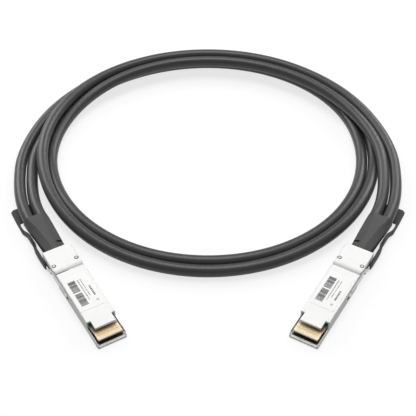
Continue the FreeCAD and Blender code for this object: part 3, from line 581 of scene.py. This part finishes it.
sliderSet = {"round": 0.1}
cardSet = {"outline": [(-31.0, 8.075), (-10.4, 8.075), (-9.8, 7.7), (-2.7, 7.7), (-2.3, 7.3)],
           "heights": (3.9, 4.9), "flat": 0.5}
for side in sides:
    shell = addPiece(pieceName(side, "lower_shell"), readNode(side, "lower_shell"))
    cutAway(shell, side, makeShellCutter())
    roundEdges(shell, side, shellSet["round"])
    keepNoseCorners(shell, side)
    storePlugSpace(shell, side)
    settle(shell, side, "lower_shell", castMetal)

    cover = addPiece(pieceName(side, "upper_shell"), makeCover(side))
    roundEdges(cover, side, shellSet["round"], angle=shellSet["coverAngle"], weigh=coverShare)
    storePlugSpace(cover, side)
    settle(cover, side, "upper_shell", castMetal)

    boot = makeBoot(side)
    cutter = bmesh.new()
    inward = 1 if side == "left" else -1
    addBar(cutter, [(inward * y, z) for y, z in bootSet["notchSection"]], 0, *bootSet["notch"])
    cutAway(boot, side, cutter)
    addNeck(boot, side)
    roundEdges(boot, side, bootSet["round"], angle=bootSet["angle"], weigh=bootShare)
    settle(boot, side, "strain_relief", bootPlastic)

    tab = addPiece(pieceName(side, "pull_tab"), makeTab(side))
    roundEdges(tab, side, tabSet["round"], segments=3, weigh=tabShare)
    settle(tab, side, "pull_tab", tabPlastic)

    slider = addPiece(pieceName(side, "latch_slider"), readNode(side, "latch_slider"))
    roundEdges(slider, side, sliderSet["round"])
    settle(slider, side, "latch_slider", springSteel)

    outline = cardSet["outline"] + [(x, -y) for x, y in reversed(cardSet["outline"])]
    board = bmesh.new()
    addBar(board, outline, 2, *cardSet["heights"])
    bmesh.ops.recalc_face_normals(board, faces=board.faces)
    board.transform(plugPlaces[side])
    card = addPiece(pieceName(side, "paddle_card"), board)
    storePlugSpace(card, side)
    settle(card, side, "paddle_card", boardGreen)
    card.data.materials.append(boardEdge)
    for polygon in card.data.polygons:
        polygon.material_index = 0 if abs(polygon.normal.z) > cardSet["flat"] else 1
print("shells, latches and boots dressed")


# Geometry Nodes: gold pads and printed bars
def makeGeometryGroup(name, inputs):
    group = bpy.data.node_groups.new(name, "GeometryNodeTree")
    group.interface.new_socket(name="Geometry", in_out="OUTPUT", socket_type="NodeSocketGeometry")
    for label, kind in inputs:
        group.interface.new_socket(name=label, in_out="INPUT", socket_type="NodeSocket" + kind)
    return group, group.nodes.new("NodeGroupInput"), group.nodes.new("NodeGroupOutput")


def finishGroup(group, put, out, instances):
    real = group.nodes.new("GeometryNodeRealizeInstances")
    paint = group.nodes.new("GeometryNodeSetMaterial")
    group.links.new(instances.outputs["Instances"], real.inputs["Geometry"])
    group.links.new(real.outputs[0], paint.inputs["Geometry"])
    group.links.new(put.outputs["Material"], paint.inputs["Material"])
    group.links.new(paint.outputs[0], out.inputs["Geometry"])


def makePadGroup():
    group, put, out = makeGeometryGroup("contactPads", [
        ("Count", "Int"), ("Spread", "Float"), ("Row Step", "Float"), ("Pad Length", "Float"),
        ("Pad Width", "Float"), ("Corner", "Float"), ("Thickness", "Float"), ("Material", "Material")])
    nodes, links = group.nodes, group.links
    grid = nodes.new("GeometryNodeMeshGrid")
    grid.inputs["Vertices X"].default_value = 2
    outline = nodes.new("GeometryNodeCurvePrimitiveQuadrilateral")
    corners = nodes.new("GeometryNodeFilletCurve")
    corners.mode = "POLY"
    corners.inputs["Count"].default_value = 3
    face = nodes.new("GeometryNodeFillCurve")
    flipped = nodes.new("GeometryNodeFlipFaces")
    raised = nodes.new("GeometryNodeExtrudeMesh")
    joined = nodes.new("GeometryNodeJoinGeometry")
    merged = nodes.new("GeometryNodeMergeByDistance")
    merged.inputs["Distance"].default_value = 0.001
    laid = nodes.new("GeometryNodeInstanceOnPoints")
    links.new(put.outputs["Row Step"], grid.inputs["Size X"])
    links.new(put.outputs["Spread"], grid.inputs["Size Y"])
    links.new(put.outputs["Count"], grid.inputs["Vertices Y"])
    links.new(put.outputs["Pad Length"], outline.inputs["Width"])
    links.new(put.outputs["Pad Width"], outline.inputs["Height"])
    links.new(outline.outputs[0], corners.inputs["Curve"])
    links.new(put.outputs["Corner"], corners.inputs["Radius"])
    links.new(corners.outputs[0], face.inputs["Curve"])
    links.new(face.outputs[0], flipped.inputs["Mesh"])
    links.new(face.outputs[0], raised.inputs["Mesh"])
    links.new(put.outputs["Thickness"], raised.inputs["Offset Scale"])
    links.new(flipped.outputs[0], joined.inputs[0])
    links.new(raised.outputs["Mesh"], joined.inputs[0])
    links.new(joined.outputs[0], merged.inputs["Geometry"])
    links.new(grid.outputs["Mesh"], laid.inputs["Points"])
    links.new(merged.outputs[0], laid.inputs["Instance"])
    finishGroup(group, put, out, laid)
    return group


def makeBarGroup():
    group, put, out = makeGeometryGroup("printedBars", [
        ("Count", "Int"), ("Step", "Float"), ("Height", "Float"), ("Thickness", "Float"),
        ("Fill Low", "Float"), ("Fill High", "Float"), ("Seed", "Int"), ("Material", "Material")])
    nodes, links = group.nodes, group.links
    offset = nodes.new("ShaderNodeCombineXYZ")
    line = nodes.new("GeometryNodeMeshLine")
    size = nodes.new("ShaderNodeCombineXYZ")
    bar = nodes.new("GeometryNodeMeshCube")
    chance = nodes.new("FunctionNodeRandomValue")
    stretch = nodes.new("ShaderNodeCombineXYZ")
    stretch.inputs["Y"].default_value = 1
    stretch.inputs["Z"].default_value = 1
    laid = nodes.new("GeometryNodeInstanceOnPoints")
    links.new(put.outputs["Step"], offset.inputs["X"])
    links.new(put.outputs["Count"], line.inputs["Count"])
    links.new(offset.outputs[0], line.inputs["Offset"])
    links.new(put.outputs["Step"], size.inputs["X"])
    links.new(put.outputs["Height"], size.inputs["Y"])
    links.new(put.outputs["Thickness"], size.inputs["Z"])
    links.new(size.outputs[0], bar.inputs["Size"])
    links.new(put.outputs["Fill Low"], chance.inputs[2])
    links.new(put.outputs["Fill High"], chance.inputs[3])
    links.new(put.outputs["Seed"], chance.inputs["Seed"])
    links.new(chance.outputs[1], stretch.inputs["X"])
    links.new(line.outputs["Mesh"], laid.inputs["Points"])
    links.new(bar.outputs["Mesh"], laid.inputs["Instance"])
    links.new(stretch.outputs[0], laid.inputs["Scale"])
    finishGroup(group, put, out, laid)
    return group


def growPiece(name, group, values):
    piece = bpy.data.objects.new(name, bpy.data.meshes.new(name))
    collection.objects.link(piece)
    modifier = piece.modifiers.new("grow", "NODES")
    modifier.node_group = group
    for item in group.interface.items_tree:
        if item.in_out == "INPUT":
            modifier[item.identifier] = values[item.name]
    return bakeModifiers(piece)


padGroup = makePadGroup()
barGroup = makeBarGroup()
padSet = {"Count": 18, "Spread": 14.1, "Row Step": 2.75, "Pad Length": 2.5, "Pad Width": 0.64, "Corner": 0.12,
          "Thickness": 0.06, "Material": goldPlate}
padRows = {"upper_contacts": (-5.525, 4.9), "lower_contacts": (-5.525, 3.84)}
traceSet = {**padSet, "Row Step": 2.0, "Pad Length": 1.85, "Pad Width": 0.42, "Corner": 0.1}
traceRow = -10.1
for side in sides:
    for node, (x, z) in padRows.items():
        pads = growPiece(pieceName(side, node), padGroup, padSet)
        traces = growPiece("traces", padGroup, traceSet)
        both = bmesh.new()
        for mesh, along in ((pads.data, x), (traces.data, traceRow)):
            mesh.transform(plugPlaces[side] @ Matrix.Translation((along, 0, z)))
            both.from_mesh(mesh)
        both.to_mesh(pads.data)
        both.free()
        bpy.data.objects.remove(traces)
        storePlugSpace(pads, side)
        settle(pads, side, node, goldPlate)
print("contacts laid")


# Label: a thin sheet with rounded corners and a plain print of bars, dashes and a ring
labelSet = {"corner": 0.8, "cornerSteps": 4, "ringAt": (-27.5, 4.3), "ring": (0.75, 0.5), "thickness": 0.02}
printSet = [
    {"at": (-47.4, -3.85), "Count": 19, "Step": 0.5, "Height": 4.6,
     "Fill Low": 0.45, "Fill High": 0.9, "Seed": 3},
    {"at": (-36.9, -3.85), "Count": 21, "Step": 0.5, "Height": 4.6,
     "Fill Low": 0.45, "Fill High": 0.9, "Seed": 8},
    {"at": (-46.5, 0.1), "Count": 12, "Step": 1.5, "Height": 0.5,
     "Fill Low": 0.4, "Fill High": 0.85, "Seed": 5},
    {"at": (-46.5, 1.85), "Count": 10, "Step": 1.5, "Height": 0.5,
     "Fill Low": 0.4, "Fill High": 0.85, "Seed": 6},
    {"at": (-39.4, 4.5), "Count": 7, "Step": 1.25, "Height": 1.1,
     "Fill Low": 0.5, "Fill High": 0.8, "Seed": 2},
]
for side in sides:
    away = plugPlaces[side].inverted()
    spots = [away @ vertex.co for vertex in frame["nodes"][side + "_label"].data.vertices]
    edges = [[pick(spot[axis] for spot in spots) for pick in (min, max)] for axis in range(3)]
    sheet = bmesh.new()
    corners = []
    for i, (x, y) in enumerate(((edges[0][1], edges[1][1]), (edges[0][0], edges[1][1]),
                                (edges[0][0], edges[1][0]), (edges[0][1], edges[1][0]))):
        centre = Vector((x, y)) - Vector((1 if i in (0, 3) else -1, 1 if i < 2 else -1)) * labelSet["corner"]
        for step in range(labelSet["cornerSteps"] + 1):
            turn = math.pi / 2 * (i + step / labelSet["cornerSteps"])
            corners.append((centre.x + labelSet["corner"] * math.cos(turn),
                            centre.y + labelSet["corner"] * math.sin(turn)))
    addBar(sheet, corners, 2, *edges[2])
    bmesh.ops.recalc_face_normals(sheet, faces=sheet.faces)
    sheet.transform(plugPlaces[side])
    plate = addPiece(pieceName(side, "label"), sheet)
    settle(plate, side, "label", labelFilm)

    halfThick = labelSet["thickness"] / 2
    top = edges[2][1] + halfThick
    ink = bmesh.new()
    for block in printSet:
        values = {"Thickness": labelSet["thickness"], "Material": labelInk, **block}
        x, y = values.pop("at")
        bars = growPiece("bars", barGroup, values)
        bars.data.transform(Matrix.Translation((x, y, top)))
        ink.from_mesh(bars.data)
        bpy.data.objects.remove(bars)
    x, y = labelSet["ringAt"]
    outer, inner = [[[ink.verts.new((*corner, z)) for z in (top - halfThick, top + halfThick)]
                     for corner in roundCorners(x, y, radius)] for radius in labelSet["ring"]]
    for i in range(len(outer)):
        j = (i + 1) % len(outer)
        for level in (0, 1):
            ink.faces.new((outer[i][level], outer[j][level], inner[j][level], inner[i][level]))
        for ring in (outer, inner):
            ink.faces.new((ring[i][0], ring[j][0], ring[j][1], ring[i][1]))
    bmesh.ops.recalc_face_normals(ink, faces=ink.faces)
    ink.transform(plugPlaces[side])
    settle(addPiece(side + "LabelPrint", ink), side, "label", labelInk, stands=False)
print("labels printed")


# Crimped rings on the cable ends, turned from a section with a bead at each end
ferruleSet = {"back": -106.6, "across": 4.05, "height": 5.7, "turns": 32,
              "section": [(0.0, 2.6), (0.0, 3.1), (0.3, 3.3), (0.7, 3.3), (0.9, 3.1),
                          (3.1, 3.1), (3.3, 3.3), (3.7, 3.3), (4.0, 3.1), (4.0, 2.6)]}
for side in sides:
    shape = bmesh.new()
    for across in (-ferruleSet["across"], ferruleSet["across"]):
        rings = []
        for step in range(ferruleSet["turns"]):
            turn = 2 * math.pi * step / ferruleSet["turns"]
            rings.append([shape.verts.new((ferruleSet["back"] + along, across + radius * math.cos(turn),
                                           ferruleSet["height"] + radius * math.sin(turn)))
                          for along, radius in ferruleSet["section"]])
        for near, far in zip(rings, rings[1:] + rings[:1]):
            for j in range(len(near)):
                m = (j + 1) % len(near)
                shape.faces.new((near[j], near[m], far[m], far[j]))
    bmesh.ops.recalc_face_normals(shape, faces=shape.faces)
    shape.transform(plugPlaces[side])
    settle(addPiece(pieceName(side, "cable_ferrules"), shape), side, "cable_ferrules", springSteel)


# Latch springs: copied from the solid, each with a mesh of its own
for side in sides:
    springs = addPiece(pieceName(side, "latch_springs"), readNode(side, "latch_springs"))
    settle(springs, side, "latch_springs", springSteel)
    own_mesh(springs)


# CAD nodes that stay
nodeFinishes = {"control_chip": chipBlack, "pair_wires": wireFilm, "wire_comb": combPlastic,
                "shell_screws": springSteel}
for side in sides:
    for node, finish in nodeFinishes.items():
        mesh = frame["nodes"][side + "_" + node].data
        mesh.materials.clear()
        mesh.materials.append(finish)


# Floor, world and lamps
floorSet = {"size": 6.0, "height": -0.0002, "color": 0.23, "lift": 0.752, "roughness": 0.9, "shine": 0.1}
floorMesh = bmesh.new()
bmesh.ops.create_grid(floorMesh, x_segments=1, y_segments=1, size=floorSet["size"])
floorData = bpy.data.meshes.new("floor")
floorMesh.to_mesh(floorData)
floorMesh.free()
floor = bpy.data.objects.new("floor", floorData)
floor.location.z = floorSet["height"]
collection.objects.link(floor)
floorPaint, nodes, links, shader = newMaterial("floorPaint")
setInputs(shader, Base_Color=(floorSet["color"],) * 3 + (1,), Roughness=floorSet["roughness"],
          Specular_IOR_Level=floorSet["shine"])
glow = nodes.new("ShaderNodeEmission")
path = nodes.new("ShaderNodeLightPath")
seen = nodes.new("ShaderNodeMath")
seen.operation = "MAXIMUM"
lift = nodes.new("ShaderNodeMath")
lift.operation = "MULTIPLY"
lift.inputs[1].default_value = floorSet["lift"]
both = nodes.new("ShaderNodeAddShader")
links.new(path.outputs["Is Camera Ray"], seen.inputs[0])
links.new(path.outputs["Is Glossy Ray"], seen.inputs[1])
links.new(seen.outputs[0], lift.inputs[0])
links.new(lift.outputs[0], glow.inputs["Strength"])
links.new(shader.outputs[0], both.inputs[0])
links.new(glow.outputs[0], both.inputs[1])
links.new(both.outputs[0], nodes["Material Output"].inputs["Surface"])
floorData.materials.append(floorPaint)

worldSet = {"strength": 0.36, "seenStrength": 1.0}
world = bpy.data.worlds.new("studio")
bpy.context.scene.world = world
world.use_nodes = True
sky = world.node_tree.nodes["Background"]
skyPath = world.node_tree.nodes.new("ShaderNodeLightPath")
skyMix = world.node_tree.nodes.new("ShaderNodeMix")
skyMix.data_type = "FLOAT"
skyMix.inputs[2].default_value = worldSet["strength"]
skyMix.inputs[3].default_value = worldSet["seenStrength"]
world.node_tree.links.new(skyPath.outputs["Is Camera Ray"], skyMix.inputs[0])
world.node_tree.links.new(skyMix.outputs[0], sky.inputs["Strength"])
sky.inputs["Color"].default_value = (1, 1, 1, 1)

lampAim = Vector((0, 0.05, 0))
lampSet = [
    {"name": "topLamp", "place": (0.0, 0.45, 1.5), "size": 0.9, "power": 12},
    {"name": "leftLamp", "place": (-0.8, 1.1, 0.8), "size": 0.8, "power": 9},
    {"name": "rightLamp", "place": (0.8, 1.1, 0.8), "size": 0.8, "power": 9},
]
for lamp in lampSet:
    data = bpy.data.lights.new(lamp["name"], "AREA")
    data.size = lamp["size"]
    data.energy = lamp["power"]
    holder = bpy.data.objects.new(lamp["name"], data)
    holder.location = lamp["place"]
    holder.rotation_euler = (lampAim - holder.location).to_track_quat("-Z", "Y").to_euler()
    collection.objects.link(holder)
bpy.context.scene.view_settings.view_transform = "Standard"
print("stage lit")
